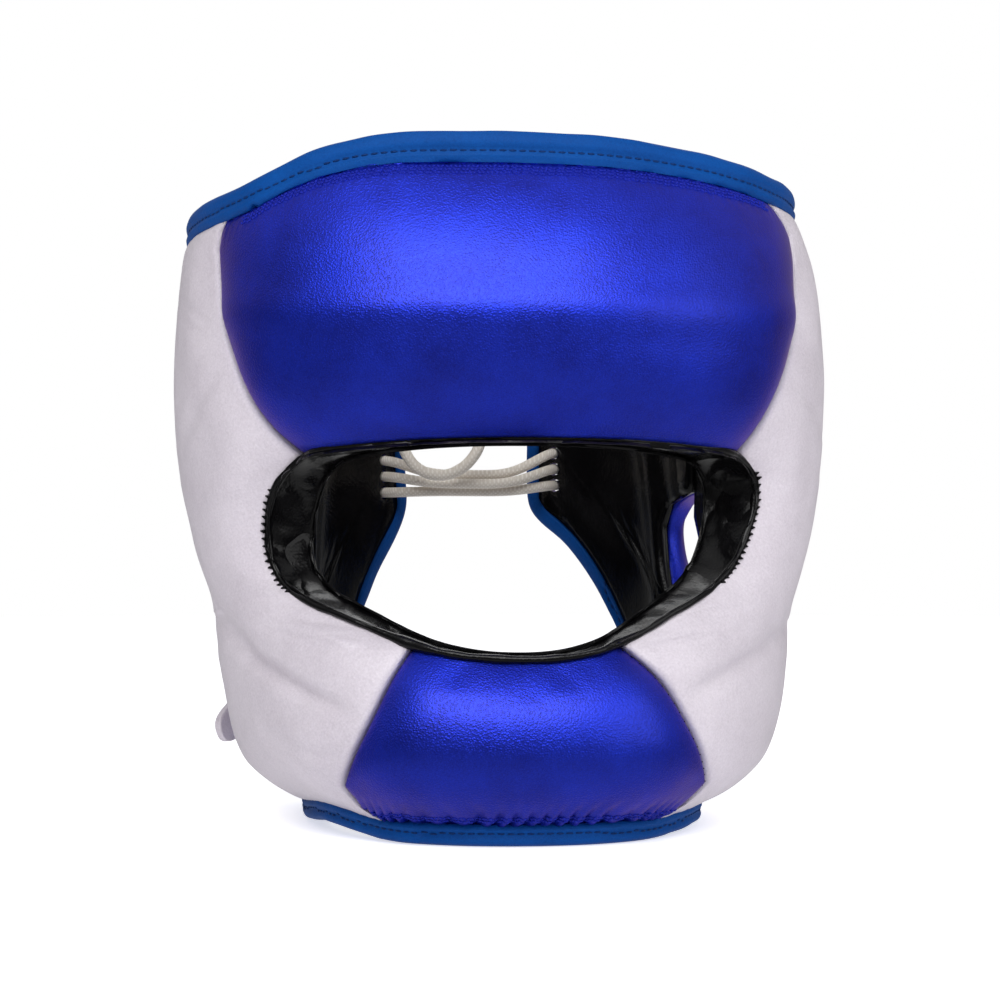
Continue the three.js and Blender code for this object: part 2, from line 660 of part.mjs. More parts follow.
// The lower lace: each row crosses the gap back, so the lace zigzags up from its knot.
function lowerLaceGeometry() {
  const points = lacedRows.flatMap(({ left, right }, i) => {
    const row = rowPoints(left, right, LACE_ROWS[i]);
    return i % 2 === 0 ? row : row.reverse();
  });
  points.push(loopHoles.left.at(loopHoles.left.thickness + LACE_DIAMETER * 0.6));
  const knotted = lacedRows[0].left;
  return withKnot(laceGeometry(points), knotted.at(knotted.thickness + KNOT_RADIUS + GAP));
}

// The slack row: in through its left hole, down into the hollow and out through its right hole.
function loopPoints() {
  const free = LACE_LOOP_ROUTE.map((point) => new THREE.Vector3(...point));
  const ends = ({ at, thickness }) => [at(0), at(thickness / 2), at(thickness - GAP)];
  return [...ends(loopHoles.left).reverse(), ...free, ...ends(loopHoles.right)];
}

// The upper lace: from the slack row's right hole up to the top row, and across to its knot.
function upperLaceGeometry() {
  const start = loopHoles.right.at(loopHoles.right.thickness + LACE_DIAMETER * 0.6);
  const row = rowPoints(topHoles.left, topHoles.right, LACE_TOP_ROW).reverse();
  const knotted = topHoles.left;
  return withKnot(laceGeometry([start, ...row]), knotted.at(knotted.thickness + KNOT_RADIUS + GAP));
}

// A flat leather strap end that lies on the left flap and bends away from it towards its tip.
function strapTabGeometry() {
  const surfaceAt = (turn, z) => wallPoint(-turn, z, paddingAt(-turn, z, []).outer);
  const stations = STRAP_TAB.map(({ turn, z, standOff, width }) => {
    const surface = surfaceAt(turn, z);
    const round = surfaceAt(turn + 1, z).sub(surface);
    const up = surfaceAt(turn, z + 1).sub(surface);
    const out = new THREE.Vector3().crossVectors(up, round).normalize();
    return { middle: surface.addScaledVector(out, standOff), out, width };
  });
  const rings = stations.map(({ middle, out, width }, i) => {
    const before = stations[Math.max(i - 1, 0)].middle;
    const after = stations[Math.min(i + 1, stations.length - 1)].middle;
    const along = after.clone().sub(before).normalize();
    const across = new THREE.Vector3().crossVectors(along, out).normalize();
    const lift = new THREE.Vector3().crossVectors(across, along);
    const corner = (side, height) =>
      middle
        .clone()
        .addScaledVector(across, (side * width) / 2)
        .addScaledVector(lift, height);
    return [corner(-1, 0), corner(1, 0), corner(1, STRAP_THICKNESS), corner(-1, STRAP_THICKNESS)];
  });
  return loft(rings, false);
}

const part = new THREE.Group();
function addPiece(name, geometry, colour) {
  const mesh = new THREE.Mesh(geometry, new THREE.MeshStandardMaterial(COLOURS[colour]));
  mesh.name = name;
  part.add(mesh);
}

addPiece("forehead_pad", padGeometry(grids.forehead), "metallicBlue");
addPiece("brow_lining", liningGeometry(grids.forehead), "blackLeather");
addPiece("face_bar_pad", padGeometry(grids.bar), "metallicBlue");
addPiece("bar_lining", liningGeometry(grids.bar), "blackLeather");
addPiece("cheek_pad_left", padGeometry(grids.cheekLeft), "whiteLeather");
addPiece("cheek_lining_left", liningGeometry(grids.cheekLeft), "blackLeather");
addPiece("cheek_pad_right", padGeometry(grids.cheekRight), "whiteLeather");
addPiece("cheek_lining_right", liningGeometry(grids.cheekRight), "blackLeather");
addPiece("face_opening_wall", openingWallGeometry(openingLoop), "blackLeather");
addPiece("top_binding", bindingGeometry(upperRim, TOP_BINDING_HEIGHT), "bindingBlue");
addPiece("lower_binding", bindingGeometry(lowerRim, LOWER_BINDING_HEIGHT), "bindingBlue");
addPiece("rear_flap_left", flapWithHoles(padGeometry(grids.flapLeft), "left"), "metallicBlue");
addPiece("flap_lining_left", flapWithHoles(liningGeometry(grids.flapLeft), "left"), "blackLeather");
addPiece("rear_flap_right", flapWithHoles(padGeometry(grids.flapRight), "right"), "metallicBlue");
addPiece("flap_lining_right", flapWithHoles(liningGeometry(grids.flapRight), "right"), "blackLeather");
addPiece("lace_lower", lowerLaceGeometry(), "laceWhite");
addPiece("lace_loop", laceGeometry(loopPoints()), "laceWhite");
addPiece("lace_upper", upperLaceGeometry(), "laceWhite");
addPiece("strap_tab", strapTabGeometry(), "whiteLeather");

export default part;
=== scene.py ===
import math

import bmesh
import bpy
from mathutils import Matrix, Quaternion, Vector, noise
from mathutils.bvhtree import BVHTree
from mathutils.kdtree import KDTree


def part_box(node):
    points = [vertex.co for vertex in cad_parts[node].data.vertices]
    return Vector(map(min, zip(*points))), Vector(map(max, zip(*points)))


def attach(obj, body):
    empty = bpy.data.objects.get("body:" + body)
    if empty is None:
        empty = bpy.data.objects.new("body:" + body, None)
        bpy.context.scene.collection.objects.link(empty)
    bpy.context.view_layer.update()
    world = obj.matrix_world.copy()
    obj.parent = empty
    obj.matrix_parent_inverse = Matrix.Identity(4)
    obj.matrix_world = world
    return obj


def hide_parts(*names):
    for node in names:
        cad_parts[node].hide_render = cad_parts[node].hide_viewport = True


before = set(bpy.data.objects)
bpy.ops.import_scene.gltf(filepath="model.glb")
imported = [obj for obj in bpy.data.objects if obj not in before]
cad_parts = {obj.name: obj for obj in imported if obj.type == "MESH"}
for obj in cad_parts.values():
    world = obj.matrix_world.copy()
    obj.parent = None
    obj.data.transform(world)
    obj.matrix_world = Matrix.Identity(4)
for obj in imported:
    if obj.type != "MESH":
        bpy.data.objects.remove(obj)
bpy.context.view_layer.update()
MM = 0.001

# Slack loop of the lace: one row of the lacing was left loose, so a round white cord hangs from the
# rear edges into the hollow. Braided polyester, limp, with a dry woven surface.
LACE_DIAMETER = 4.4 * MM
LACE_BRAID_MM = 1.1
# The darker lace colour is painted shade for the grooves between the strands.
LACE_LIGHT, LACE_GROOVE_SHADE = "#F2ECE4", "#DCD3C8"
LACE_LOOP_ROUTE = [
    (-0.0458, 0.1196, 0.1540),
    (-0.0423, 0.1128, 0.1540),
    (-0.0386, 0.1056, 0.1540),
    (-0.0305, 0.0940, 0.1500),
    (-0.0320, 0.0910, 0.1425),
    (-0.0300, 0.0885, 0.1345),
    (-0.0245, 0.0875, 0.1288),
    (-0.0170, 0.0870, 0.1268),
    (-0.0095, 0.0875, 0.1290),
    (-0.0035, 0.0885, 0.1345),
    (0.0005, 0.0910, 0.1425),
    (0.0050, 0.0940, 0.1500),
    (0.0130, 0.0985, 0.1545),
    (0.0296, 0.1086, 0.1570),
    (0.0323, 0.1157, 0.1570),
    (0.0348, 0.1224, 0.1570),
]


def linear(hex_colour):
    """An sRGB hex colour as linear RGBA."""
    parts = [int(hex_colour[i : i + 2], 16) / 255 for i in (1, 3, 5)]
    return [p / 12.92 if p <= 0.04045 else ((p + 0.055) / 1.055) ** 2.4 for p in parts] + [1.0]


def add_node(tree, kind, inputs=(), **settings):
    """Adds a shader node. inputs gives its sockets a value, or the output that it is linked from."""
    node = tree.nodes.new("ShaderNode" + kind)
    for name, value in settings.items():
        setattr(node, name, value)
    for socket, value in dict(inputs).items():
        if isinstance(value, bpy.types.NodeSocket):
            tree.links.new(value, node.inputs[socket])
        else:
            node.inputs[socket].default_value = value
    return node


def braided_polyester():
    """Braided cord: two sets of strands cross at a slant, with painted shade in the grooves between them."""
    material = bpy.data.materials.new("braided_polyester")
    material.use_nodes = True
    tree = material.node_tree
    shader = tree.nodes["Principled BSDF"]
    shader.inputs["Roughness"].default_value = 0.82
    shader.inputs["Sheen Weight"].default_value = 0.25
    place = add_node(tree, "TexCoord").outputs["Object"]
    strands = []
    for slant in (math.radians(38), math.radians(-38)):
        turned = add_node(tree, "Mapping", {"Vector": place, "Rotation": (0, slant, slant)})
        strands.append(
            add_node(
                tree,
                "TexWave",
                {
                    "Vector": turned.outputs["Vector"],
                    "Scale": 2000 / LACE_BRAID_MM / math.tau,
                    "Distortion": 1.2,
                },
            )
        )
    crossed = add_node(
        tree, "Math", {0: strands[0].outputs["Fac"], 1: strands[1].outputs["Fac"]}, operation="MULTIPLY"
    )
    # Painted shade: the cord turns to the darker colour where the strands dip, in the grooves between them.
    tint = add_node(
        tree,
        "MixRGB",
        {"Fac": crossed.outputs["Value"], "Color1": linear(LACE_GROOVE_SHADE), "Color2": linear(LACE_LIGHT)},
    )
    tree.links.new(tint.outputs["Color"], shader.inputs["Base Color"])
    bump = add_node(
        tree, "Bump", {"Height": crossed.outputs["Value"], "Strength": 0.35, "Distance": 0.25 * MM}
    )
    tree.links.new(bump.outputs["Normal"], shader.inputs["Normal"])
    return material


def add_piece(name, data, material, slot, *replaced):
    """Puts a finished mesh or curve on the guard, in the place of the solids that it stands for."""
    piece = bpy.data.objects.new(name, data)
    bpy.context.scene.collection.objects.link(piece)
    data.materials.clear()
    data.materials.append(material)
    if isinstance(data, bpy.types.Mesh):
        data.polygons.foreach_set("use_smooth", [True] * len(data.polygons))
        data.update()
    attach(piece, "root")
    if replaced:
        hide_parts(*replaced)
    return piece


lace_material = braided_polyester()
route = bpy.data.curves.new("slack_lace", "CURVE")
route.dimensions = "3D"
route.bevel_depth = LACE_DIAMETER / 2
route.bevel_resolution = 5
route.use_fill_caps = True
spline = route.splines.new("BEZIER")
spline.bezier_points.add(len(LACE_LOOP_ROUTE) - 1)
for knot, place in zip(spline.bezier_points, LACE_LOOP_ROUTE):
    knot.co = place
    knot.handle_left_type = knot.handle_right_type = "AUTO"
slack_lace = add_piece("slack_lace", route, lace_material, "white_lace", "lace_loop")

# Forehead pad and face bar: foam in metallic-coated leather, sewn to the tape along their outer rims and
# to the white cheeks at their ends. The foam swells the leather between its seams, and the sewn rims are
# gathered into small puckers.
FOREHEAD_RIDGE_Z = 181 * MM
FOREHEAD_RIDGE_WIDTH = 8 * MM
FOREHEAD_RIDGE_HEIGHT = 1.3 * MM
SHARP_EDGE = math.radians(60)
RIM_EDGE = math.radians(22)
RIM_REACH = 2.4 * MM
SEWN_REACH = 3 * MM
FOAM_PRESSURE = 20
FOAM_FRAMES = 20
SPARE_LEATHER = 0.003
MOST_SWELL = 1.6 * MM
SEAM_REACH = 4 * MM
BLUE_SEAM_DEPTH = 0.9 * MM
TAPE_SEAM_REACH = 3.5 * MM
TAPE_SEAM_DEPTH = 1.3 * MM
RIM_RADIUS = 100 * MM
GATHER_START = 2 * MM
PUCKER_DRIFTS = [(45, 0.9), (40, 1.2)]
PUCKER_CREASE = 1.3
PUCKER_SIZE, PUCKER_SIZE_SPREAD, PUCKER_SIZES_PER_M = 0.7, 0.6, 60
PUCKER_FADE = 1.5
CHEEK_NODES = ["cheek_pad_left", "cheek_pad_right"]


def leather(name, colours, grain_mm, grain_depth_mm, roughness, finish, folds_mm=0, fold_depth_mm=0):
    """Coated leather: a pebble grain pressed into it, small folds where it is slack, and an uneven gloss."""
    material = bpy.data.materials.new(name)
    material.use_nodes = True
    tree = material.node_tree
    shader = tree.nodes["Principled BSDF"]
    for socket, value in finish.items():
        shader.inputs[socket].default_value = value
    place = add_node(tree, "TexCoord").outputs["Object"]
    drift = add_node(tree, "TexNoise", {"Vector": place, "Scale": 1000 / 22, "Detail": 5.0, "Roughness": 0.6})
    grain = add_node(tree, "TexVoronoi", {"Vector": place, "Scale": 1000 / grain_mm})
    pebble = add_node(
        tree,
        "MapRange",
        {"Value": grain.outputs["Distance"], "From Max": 0.75, "To Min": 1.0, "To Max": 0.0},
        interpolation_type="SMOOTHSTEP",
    )
    pores = add_node(
        tree, "TexNoise", {"Vector": place, "Scale": 2000 / grain_mm, "Detail": 3.0, "Roughness": 0.7}
    )
    height = add_node(
        tree,
        "Math",
        {0: pores.outputs["Fac"], 1: 0.3, 2: pebble.outputs["Result"]},
        operation="MULTIPLY_ADD",
    )
    shade = add_node(
        tree, "Math", {0: drift.outputs["Fac"], 1: 0.65, 2: pores.outputs["Fac"]}, operation="MULTIPLY_ADD"
    )
    share = add_node(tree, "MapRange", {"Value": shade.outputs["Value"], "From Min": 0.5, "From Max": 1.15})
    tint = add_node(
        tree,
        "MixRGB",
        {"Fac": share.outputs["Result"], "Color1": linear(colours[0]), "Color2": linear(colours[1])},
    )
    tree.links.new(tint.outputs["Color"], shader.inputs["Base Color"])
    gloss = add_node(
        tree,
        "MapRange",
        {"Value": drift.outputs["Fac"], "From Min": 0.3, "From Max": 0.7},
    )
    gloss.inputs["To Min"].default_value, gloss.inputs["To Max"].default_value = roughness
    tree.links.new(gloss.outputs["Result"], shader.inputs["Roughness"])
    bump = add_node(
        tree, "Bump", {"Height": height.outputs["Value"], "Strength": 1.0, "Distance": grain_depth_mm * MM}
    )
    tree.links.new(bump.outputs["Normal"], shader.inputs["Normal"])
    if folds_mm:
        waves = add_node(
            tree, "TexNoise", {"Vector": place, "Scale": 1000 / folds_mm, "Detail": 1.0, "Distortion": 0.6}
        )
        middle = add_node(tree, "Math", {0: waves.outputs["Fac"], 1: 0.5}, operation="SUBTRACT")
        ridge = add_node(tree, "Math", {0: middle.outputs["Value"]}, operation="ABSOLUTE")
        folds = add_node(
            tree, "Bump", {"Height": ridge.outputs["Value"], "Strength": 1.0, "Distance": fold_depth_mm * MM}
        )
        tree.links.new(folds.outputs["Normal"], bump.inputs["Normal"])
    return material


def surface_tree(nodes):
    """A search tree over the solids of some nodes."""
    points, faces = [], []
    for node in nodes:
        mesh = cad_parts[node].data
        first = len(points)
        points += [v.co.copy() for v in mesh.vertices]
        faces += [[first + i for i in p.vertices] for p in mesh.polygons]
    return BVHTree.FromPolygons(points, faces)


def solid_mesh(node):
    """A copy of a node's mesh with its loose triangles joined up."""
    shape = bmesh.new()
    shape.from_mesh(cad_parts[node].data)
    bmesh.ops.remove_doubles(shape, verts=shape.verts[:], dist=0.01 * MM)
    mesh = bpy.data.meshes.new(node)
    shape.to_mesh(mesh)
    shape.free()
    return mesh


def modified(mesh, kind, **settings):
    """The mesh with one modifier applied."""
    carrier = bpy.data.objects.new("carrier", mesh)
    bpy.context.scene.collection.objects.link(carrier)
    modifier = carrier.modifiers.new(kind.title(), kind)
    for name, value in settings.items():
        setattr(modifier, name, value)
    depsgraph = bpy.context.evaluated_depsgraph_get()
    result = bpy.data.meshes.new_from_object(carrier.evaluated_get(depsgraph))
    bpy.data.objects.remove(carrier)
    return result


def outwards(place):
    """The level direction from the middle of the guard to a place on it."""
    return Vector((place.x, place.y, 0)).normalized()


def swell(mesh, sewn):
    """Blows a cover up as its foam does. It stays put where it is sewn down."""
    carrier = bpy.data.objects.new("carrier", mesh)
    scene = bpy.context.scene
    scene.collection.objects.link(carrier)
    group = carrier.vertex_groups.new(name="sewn")
    group.add([i for i, is_sewn in enumerate(sewn) if is_sewn], 1.0, "REPLACE")
    cloth = carrier.modifiers.new("Cloth", "CLOTH")
    cloth.settings.quality = 6
    cloth.settings.mass = 0.004
    cloth.settings.tension_stiffness = 15
    cloth.settings.compression_stiffness = 15
    cloth.settings.bending_stiffness = 0.3
    cloth.settings.shrink_min = cloth.settings.shrink_max = -SPARE_LEATHER
    cloth.settings.effector_weights.gravity = 0
    cloth.settings.use_pressure = True
    cloth.settings.uniform_pressure_force = FOAM_PRESSURE
    cloth.settings.vertex_group_mass = group.name
    cloth.point_cache.frame_start = 1
    cloth.point_cache.frame_end = FOAM_FRAMES
    for step in range(1, FOAM_FRAMES + 1):
        scene.frame_set(step)
    depsgraph = bpy.context.evaluated_depsgraph_get()
    places = [v.co.copy() for v in carrier.evaluated_get(depsgraph).data.vertices]
    bpy.data.objects.remove(carrier)
    scene.frame_set(1)
    return places


def smooth_copy(node, levels, rim_crease):
    """A copy of a node with its curves smoothed and its sharp rims kept."""
    shape = bmesh.new()
    shape.from_mesh(solid_mesh(node))
    bmesh.ops.join_triangles(
        shape,
        faces=shape.faces[:],
        cmp_seam=False,
        cmp_sharp=False,
        cmp_uvs=False,
        cmp_vcols=False,
        cmp_materials=False,
        angle_face_threshold=math.radians(40),
        angle_shape_threshold=math.radians(60),
    )
    outside = [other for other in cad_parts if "lining" not in other and "lace" not in other]
    beside = surface_tree([other for other in outside if other != node])
    crease = shape.edges.layers.float.new("crease_edge")
    for edge in shape.edges:
        is_rim = all(beside.find_nearest(v.co, RIM_REACH)[0] is not None for v in edge.verts)
        if edge.calc_face_angle(0) > (RIM_EDGE if is_rim else SHARP_EDGE):
            edge[crease] = rim_crease
    mesh = bpy.data.meshes.new(node)
    shape.to_mesh(mesh)
    shape.free()
    return modified(mesh, "SUBSURF", levels=levels, render_levels=levels)


def stuffed_cover(node, finish):
    """The leather cover of a pad: its solid smoothed, then swollen between its seams by the foam."""
    mesh = smooth_copy(node, levels=1, rim_crease=0.9)
    around = surface_tree([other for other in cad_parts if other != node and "lace" not in other])
    start = [v.co.copy() for v in mesh.vertices]
    sewn = [around.find_nearest(place, SEWN_REACH)[0] is not None for place in start]
    for vertex, before, after in zip(mesh.vertices, start, swell(mesh, sewn)):
        move = after - before
        vertex.co = before + move * min(1, MOST_SWELL / max(move.length, MOST_SWELL))
    return modified(mesh, "SUBSURF", levels=finish, render_levels=finish)


def shift(mesh, amount):
    """Moves each point of a mesh along its normal by what amount(place, normal) gives."""
    moves = [v.normal * amount(v.co, v.normal) for v in mesh.vertices]
    for vertex, move in zip(mesh.vertices, moves):
        vertex.co = vertex.co + move
    mesh.update()


def sew(mesh, beside, reach, depth):
    """Draws a cover in along its seams to the nodes beside it."""
    seams = surface_tree(beside)

    def amount(place, normal):
        distance = seams.find_nearest(place, reach)[3]
        if distance is None or normal.dot(outwards(place)) < 0.1:
            return 0
        return -depth * (1 - distance / reach) ** 2

    shift(mesh, amount)


def gather(mesh, tape, reach, depth, spacing):
    """Puckers a cover along the tape that it is sewn to. They run away from the tape and fade out."""
    edge = surface_tree([tape])

    def amount(place, normal):
        distance = edge.find_nearest(place, reach)[3]
        if distance is None or normal.dot(outwards(place)) < -0.3:
            return 0
        along = math.atan2(place.x, -place.y) * RIM_RADIUS
        (patches, sway), (waves, drift) = PUCKER_DRIFTS
        wander = noise.noise(place * patches) * sway + noise.noise(Vector((along * waves, 3.1, 0))) * drift
        fold = 2 * abs(math.sin(math.pi * (along / spacing + wander))) - PUCKER_CREASE
        uneven = noise.noise(Vector((along * PUCKER_SIZES_PER_M, 7.7, 0)))
        size = PUCKER_SIZE + PUCKER_SIZE_SPREAD * uneven
        near = min(1, distance / GATHER_START)
        return depth * size * fold * near * (1 - distance / reach) ** PUCKER_FADE

    shift(mesh, amount)


# A clear coat over metal flakes: strong coloured highlights that break up on the grain, and dark flanks.
metallic_blue = leather(
    "metallic_coated_leather",
    ("#0B1A90", "#1A3ADC"),
    grain_mm=0.78,
    grain_depth_mm=0.1,
    roughness=(0.36, 0.44),
    finish={"Metallic": 0.85, "Specular Tint": linear("#FFC8D8"), "Coat Weight": 0.3, "Coat Roughness": 0.35},
)

forehead = stuffed_cover("forehead_pad", finish=3)
sew(forehead, CHEEK_NODES, SEAM_REACH, BLUE_SEAM_DEPTH)
sew(forehead, ["top_binding"], TAPE_SEAM_REACH, 1.5 * TAPE_SEAM_DEPTH)
gather(forehead, "top_binding", reach=13 * MM, depth=0.4 * MM, spacing=4.5 * MM)
shift(
    forehead,
    lambda place, normal: FOREHEAD_RIDGE_HEIGHT
    * max(0, normal.dot(outwards(place)))
    * math.exp(-(((place.z - FOREHEAD_RIDGE_Z) / FOREHEAD_RIDGE_WIDTH) ** 2)),
)
forehead_cover = add_piece("forehead_cover", forehead, metallic_blue, "metallic_blue_leather", "forehead_pad")

bar = stuffed_cover("face_bar_pad", finish=3)
sew(bar, CHEEK_NODES, SEAM_REACH, BLUE_SEAM_DEPTH)
sew(bar, ["lower_binding"], TAPE_SEAM_REACH, TAPE_SEAM_DEPTH)
gather(bar, "lower_binding", reach=17 * MM, depth=2.2 * MM, spacing=5.5 * MM)
bar_cover = add_piece("face_bar_cover", bar, metallic_blue, "metallic_blue_leather", "face_bar_pad")

# Cheek pads: the same foam in white leather with a pearl finish, one on each side from the face opening
# round to the ear. The leather creases where the pad bends in towards the jaw.
BLUE_NODES = ["forehead_pad", "face_bar_pad", "rear_flap_left", "rear_flap_right"]
WHITE_SEAM_DEPTH = 0.3 * MM
CHEEK_DENT = 0.35 * MM
CHEEK_DENTS_PER_M = 60
CHEEK_CREASES = {
    "left": [
        {"route": [(-62, 47), (-75, 52), (-92, 62), (-104, 77)], "depth": 3.6 * MM, "width": 3.0 * MM},
        {"route": [(-103, 162), (-110, 152), (-117, 136)], "depth": 0.9 * MM, "width": 2.4 * MM},
        {"route": [(-58, 30), (-74, 31), (-88, 36)], "depth": 1.0 * MM, "width": 2.2 * MM},
        {"route": [(-117, 188), (-110, 181), (-104, 176)], "depth": 0.7 * MM, "width": 1.6 * MM},
        {"route": [(-116, 181), (-111, 176), (-106, 173)], "depth": 0.6 * MM, "width": 1.5 * MM},
    ],
    "right": [
        {"route": [(58, 52), (72, 58), (90, 66), (104, 74)], "depth": 2.6 * MM, "width": 3.0 * MM},
        {"route": [(98, 160), (108, 150), (116, 138)], "depth": 0.7 * MM, "width": 2.6 * MM},
    ],
}


def crease_depth(place, creases):
    """How deep the creases are at a place on a cheek. A crease is drawn in x and z, and its ends fade."""
    depth = 0
    for crease in creases:
        points = [Vector((x, z)) * MM for x, z in crease["route"]]
        spot = Vector((place.x, place.z))
        for i, (start, end) in enumerate(zip(points, points[1:])):
            share = (spot - start).dot(end - start) / (end - start).length_squared
            inside = min(1, max(0, share))
            distance = (spot - start.lerp(end, inside)).length / crease["width"]
            along = (i + inside) / (len(points) - 1)
            fade = math.sin(math.pi * min(1, max(0.02, along))) ** 0.5
            depth = max(depth, crease["depth"] * fade * math.exp(-distance * distance))
    return depth


# A thin pearl coat on fine-grained leather: nearly matt, with a faint lilac tone and soft shading.
white_leather = leather(
    "pearl_finished_leather",
    ("#B9B1BA", "#D3CCD4"),
    grain_mm=1.6,
    grain_depth_mm=0.09,
    roughness=(0.42, 0.52),
    finish={"Specular IOR Level": 0.45, "Coat Weight": 0.08, "Coat Roughness": 0.4},
    folds_mm=18,
    fold_depth_mm=0.6,
)
cheek_covers = {}
for side in ("left", "right"):
    node = "cheek_pad_" + side
    cheek = stuffed_cover(node, finish=2)
    sew(cheek, BLUE_NODES, SEAM_REACH, WHITE_SEAM_DEPTH)
    sew(cheek, ["top_binding"], TAPE_SEAM_REACH, TAPE_SEAM_DEPTH)
    gather(cheek, "lower_binding", reach=11 * MM, depth=0.6 * MM, spacing=9 * MM)
    gather(cheek, "top_binding", reach=9 * MM, depth=0.35 * MM, spacing=8 * MM)
    creases = CHEEK_CREASES[side]
    shift(
        cheek,
        lambda place, normal: (
            CHEEK_DENT * noise.noise(place * CHEEK_DENTS_PER_M) - crease_depth(place, creases)
        )
        * max(0, normal.dot(outwards(place))),
    )
    cover = add_piece("cheek_cover_" + side, cheek, white_leather, "white_leather", node)
    cheek_covers[side] = cheek

# Linings: thin smooth black leather on the inside of every panel, glued flat at the rims and loose enough
# in between to fall into a few long soft folds that run down to the jaw.
LINING_FOLDS = [
    {"top_turn": 126, "low_turn": 117, "height": 3.6 * MM, "width": 4.0},
    {"top_turn": 143, "low_turn": 129, "height": 3.0 * MM, "width": 3.5},
]
LINING_RIPPLES = [(0.7 * MM, 38), (0.3 * MM, 90)]
FOLD_TOP_Z = 190 * MM
FOLD_LOW_Z = 40 * MM
EAR_SEAM_TOP_Z = 142 * MM
EAR_SEAM_LOW_Z = 117.5 * MM
EAR_SEAM_GAP = 8.5 * MM
EAR_HOLE_FADE = 6 * MM
EAR_FRONT_Y = 53 * MM
EAR_REAR_Y = 66 * MM


def long_folds(place, normal):
    """Height of the lining's long folds, which stand into the hollow."""
    facing_in = -normal.dot(outwards(place))
    if facing_in < 0.3:
        return 0
    turn = abs(math.degrees(math.atan2(place.x, -place.y)))
    down = min(1, max(0, (FOLD_TOP_Z - place.z) / (FOLD_TOP_Z - FOLD_LOW_Z)))
    height = sum(size * noise.noise(place * per_m) for size, per_m in LINING_RIPPLES)
    for fold in LINING_FOLDS:
        middle = fold["top_turn"] + (fold["low_turn"] - fold["top_turn"]) * down**1.5
        height += fold["height"] * math.exp(-(((turn - middle) / fold["width"]) ** 2))
    return height * facing_in


def close_ear_seam(mesh):
    """Brings the left flap forward to the cheek above the ear hole, where its edge would gape."""
    for vertex in mesh.vertices:
        above = (EAR_SEAM_TOP_Z - vertex.co.z) / (EAR_SEAM_TOP_Z - EAR_SEAM_LOW_Z)
        below = 1 - (EAR_SEAM_LOW_Z - vertex.co.z) / EAR_HOLE_FADE
        front = (EAR_REAR_Y - vertex.co.y) / (EAR_REAR_Y - EAR_FRONT_Y)
        vertex.co.y -= EAR_SEAM_GAP * max(0, min(1, above, below)) * max(0, min(1, front))
    mesh.update()


# Smooth polished leather: almost black, with clear narrow glints along its folds.
black_leather = leather(
    "smooth_black_leather",
    ("#040405", "#0B0A0C"),
    grain_mm=1.1,
    grain_depth_mm=0.04,
    roughness=(0.16, 0.26),
    finish={"Specular IOR Level": 0.28},
)
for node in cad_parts:
    if "lining" in node:
        lining = smooth_copy(node, levels=2, rim_crease=1)
        shift(lining, long_folds)
        if node == "flap_lining_left":
            close_ear_seam(lining)
        add_piece(node + "_leather", lining, black_leather, "black_leather", node)

# Wall of the face opening: a strip of the same black leather sewn to the rims of the pads and turned in
# to the lining. It is gathered round the tight curves, so it is crumpled all over. A narrow folded edge
# covers its seam, and black overlock stitches bite into the white leather at the sides.
WALL_CRUMPLE = 2.2 * MM
COARSE_CRUMPLES_PER_M = Vector((55, 30, 60))
FINE_CRUMPLES_PER_M = Vector((150, 80, 160))
OPENING_CENTRE = Vector((-2 * MM, 0, 98 * MM))
TRIM_HALF_WIDTH = 1.35 * MM
TRIM_INSET = 1.0 * MM
WALL_THINNING = 1.2 * MM
TRIM_LUMP = 0.35 * MM
TRIM_LUMPS_PER_M = (160, 60)
TRIM_KNUCKLE = 0.5
KNUCKLE_REACH = 5 * MM
RIM_STEP = 2.5 * MM
RIM_TOUCH = 1.5 * MM
BROW_TRIM_Z = 133.5 * MM
BROW_TRIM_BACK = 2.2 * MM
BITE_SPACING = 2.6 * MM
BITE_LENGTH = 1.5 * MM
BITE_RADIUS = 0.75 * MM
BITE_LIFT = 0.6 * MM
BITE_TAPER = 0.25
BITE_SPANS = {"left": (85 * MM, 121 * MM), "right": (88 * MM, 127 * MM)}
BAR_BITE_SPACING = 3.7 * MM
BAR_BITE_LENGTH = 0.9 * MM
BAR_BITE_RADIUS = 0.28 * MM


def crumple(place, normal):
    """Ridges and dents of crumpled leather."""
    coarse = 1 - 2 * abs(noise.noise(place * COARSE_CRUMPLES_PER_M))
    folds = 1 - 2 * abs(noise.noise(place * FINE_CRUMPLES_PER_M + Vector((0, 0, 5))))
    level = Vector((normal.x, 0, normal.z)).dot((OPENING_CENTRE - place) * Vector((1, 0, 1)))
    upright = min(1, max(0, abs(normal.x) * 1.6 - 0.6))
    thinner = WALL_THINNING * (2 - upright) if level > 0 else 0
    dents = 0.5 * coarse + 0.35 * folds + 0.15 * noise.noise(place * 150) - 0.45
    return WALL_CRUMPLE * (0.35 + 0.65 * upright) * dents - thinner


def outer_rim(node, beside):
    """The outer edge of a pad along a neighbour: one point for each row of the pad's solid."""
    neighbour = surface_tree([beside])
    rows = {}
    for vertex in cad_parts[node].data.vertices:
        row = (vertex.co.x > 0, round(vertex.co.z / (0.05 * MM)))
        is_beside = neighbour.find_nearest(vertex.co, RIM_TOUCH)[0] is not None
        if is_beside and (row not in rows or vertex.co.xy.length > rows[row].xy.length):
            rows[row] = vertex.co.copy()
    return list(rows.values())


def spaced(points, spacing):
    """Points at an even spacing along a line of points."""
    places, left = [], spacing / 2
    for start, end in zip(points, points[1:]):
        length = (end - start).length
        while left < length:
            places.append(start.lerp(end, left / length))
            left += spacing
        left -= length
    return places


def mesh_tree(mesh):
    """A search tree over a finished mesh."""
    return BVHTree.FromPolygons([v.co for v in mesh.vertices], [p.vertices for p in mesh.polygons])


